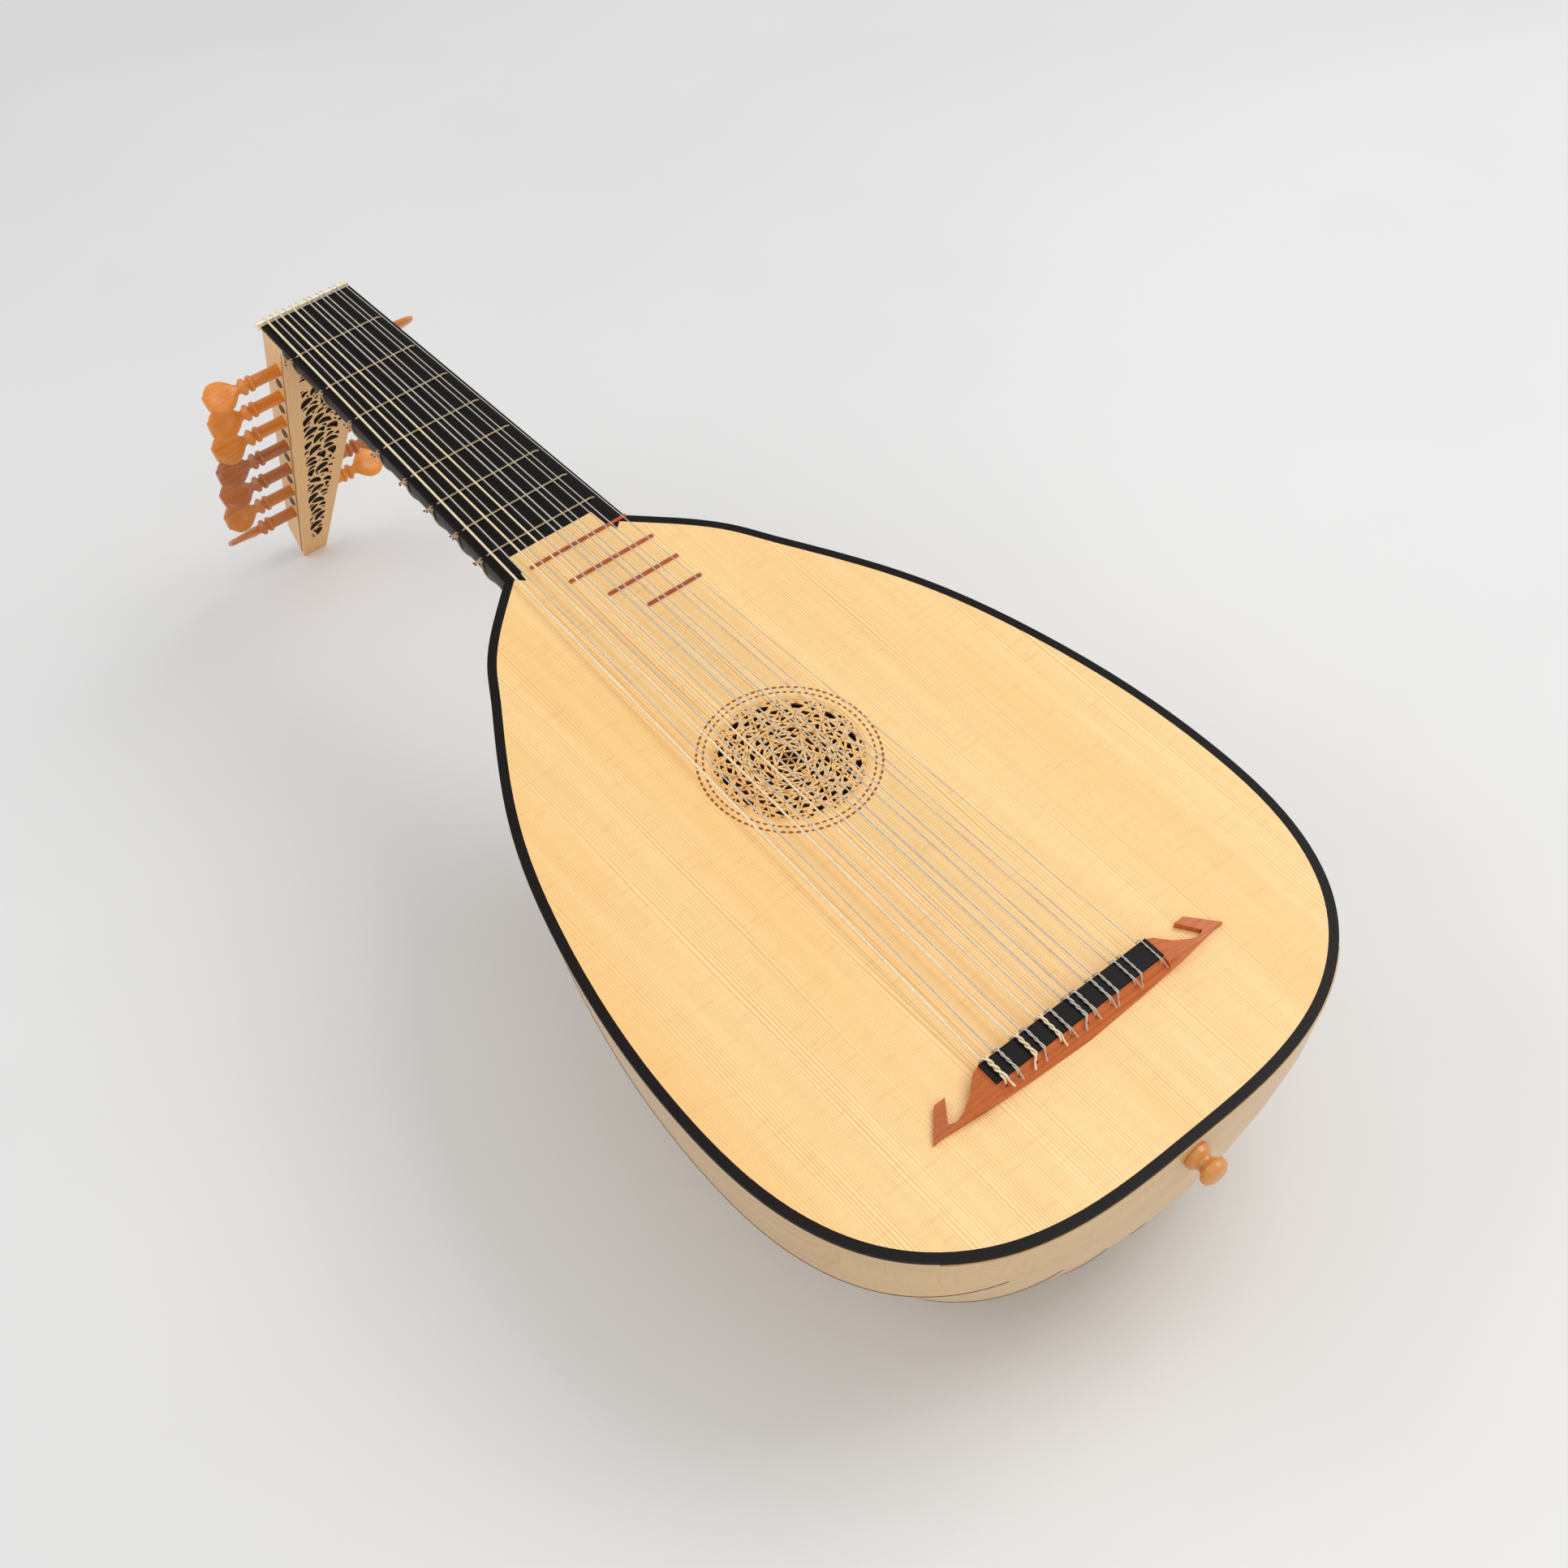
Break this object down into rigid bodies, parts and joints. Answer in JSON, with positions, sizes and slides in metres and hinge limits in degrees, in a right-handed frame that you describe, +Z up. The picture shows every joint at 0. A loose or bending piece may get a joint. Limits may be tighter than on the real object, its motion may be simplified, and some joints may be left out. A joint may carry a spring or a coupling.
{
  "type": "renaissance lute",
  "caption": "Bowl-backed plucked lute with a ribbed back, carved rose, black-edged soundboard, tied frets and a bent-back pegbox of friction pegs",
  "frame": {"origin": "centre of the footprint, on the floor the lute lies on", "axes": "+Z up, the lute lying on its back; +Y from the tail to the neck and pegbox; +X to the treble side"},
  "size_m": [0.3158, 0.7908, 0.2325],
  "materials": {
    "spruce": "oiled honey spruce",
    "maple": "pale varnished maple",
    "ebony": "black, oiled",
    "fruitwood": "orange-brown varnish",
    "pegwood": "orange-brown, waxed",
    "bone": "cream bone",
    "gut_fret": "dry twisted gut",
    "gut_string": "smooth gut",
    "limewood": "light oiled pegbox wood"
  },
  "bodies": {
    "lute": {"body_frets": "fruitwood", "bridge": "fruitwood", "bridge_cap": "ebony", "edging_bass": "ebony", "edging_treble": "ebony", "end_clasp": "maple", "fingerboard": "ebony", "neck": "ebony", "neck_block": "spruce", "nut": "bone", "pegbox_cheek_bass": "limewood", "pegbox_cheek_treble": "limewood", "pegbox_end": "limewood", "pegbox_panel": "limewood", "pegbox_root": "limewood", "rib_01": "maple", "rib_02": "maple", "rib_03": "maple", "rib_04": "maple", "rib_05": "maple", "rib_06": "maple", "rib_07": "maple", "rib_08": "maple", "rib_09": "maple", "soundboard": "spruce", "soundboard_bars": "spruce", "strap_button": "fruitwood", "string_01": "gut_string", "string_02": "gut_string", "string_03": "gut_string", "string_04": "gut_string", "string_05": "gut_string", "string_06": "gut_string", "string_07": "gut_string", "string_08": "gut_string", "string_09": "gut_string", "string_10": "gut_string", "string_11": "gut_string", "string_12": "gut_string", "string_13": "gut_string", "tail_block": "spruce", "tied_frets": "gut_fret"},
    "peg_01": {"peg_01": "pegwood"},
    "peg_02": {"peg_02": "pegwood"},
    "peg_03": {"peg_03": "pegwood"},
    "peg_04": {"peg_04": "pegwood"},
    "peg_05": {"peg_05": "pegwood"},
    "peg_06": {"peg_06": "pegwood"},
    "peg_07": {"peg_07": "pegwood"},
    "peg_08": {"peg_08": "pegwood"},
    "peg_09": {"peg_09": "pegwood"},
    "peg_10": {"peg_10": "pegwood"},
    "peg_11": {"peg_11": "pegwood"},
    "peg_12": {"peg_12": "pegwood"},
    "peg_13": {"peg_13": "pegwood"}
  },
  "joints": [
    {"name": "peg_01_turn", "type": "hinge", "parent": "lute", "child": "peg_01", "pos_m": [0, 0.287, 0.20095], "axis": [1, 0, 0], "continuous": true},
    {"name": "peg_02_turn", "type": "hinge", "parent": "lute", "child": "peg_02", "pos_m": [0, 0.29383, 0.1883], "axis": [1, 0, 0], "continuous": true},
    {"name": "peg_03_turn", "type": "hinge", "parent": "lute", "child": "peg_03", "pos_m": [0, 0.30067, 0.17565], "axis": [1, 0, 0], "continuous": true},
    {"name": "peg_04_turn", "type": "hinge", "parent": "lute", "child": "peg_04", "pos_m": [0, 0.3075, 0.16301], "axis": [1, 0, 0], "continuous": true},
    {"name": "peg_05_turn", "type": "hinge", "parent": "lute", "child": "peg_05", "pos_m": [0, 0.31434, 0.15036], "axis": [1, 0, 0], "continuous": true},
    {"name": "peg_06_turn", "type": "hinge", "parent": "lute", "child": "peg_06", "pos_m": [0, 0.32118, 0.13771], "axis": [1, 0, 0], "continuous": true},
    {"name": "peg_07_turn", "type": "hinge", "parent": "lute", "child": "peg_07", "pos_m": [0, 0.32802, 0.12507], "axis": [1, 0, 0], "continuous": true},
    {"name": "peg_08_turn", "type": "hinge", "parent": "lute", "child": "peg_08", "pos_m": [0, 0.33485, 0.11242], "axis": [1, 0, 0], "continuous": true},
    {"name": "peg_09_turn", "type": "hinge", "parent": "lute", "child": "peg_09", "pos_m": [0, 0.34169, 0.09977], "axis": [1, 0, 0], "continuous": true},
    {"name": "peg_10_turn", "type": "hinge", "parent": "lute", "child": "peg_10", "pos_m": [0, 0.34853, 0.08713], "axis": [1, 0, 0], "continuous": true},
    {"name": "peg_11_turn", "type": "hinge", "parent": "lute", "child": "peg_11", "pos_m": [0, 0.35536, 0.07448], "axis": [1, 0, 0], "continuous": true},
    {"name": "peg_12_turn", "type": "hinge", "parent": "lute", "child": "peg_12", "pos_m": [0, 0.3622, 0.06183], "axis": [1, 0, 0], "continuous": true},
    {"name": "peg_13_turn", "type": "hinge", "parent": "lute", "child": "peg_13", "pos_m": [0, 0.36904, 0.04919], "axis": [1, 0, 0], "continuous": true}
  ]
}
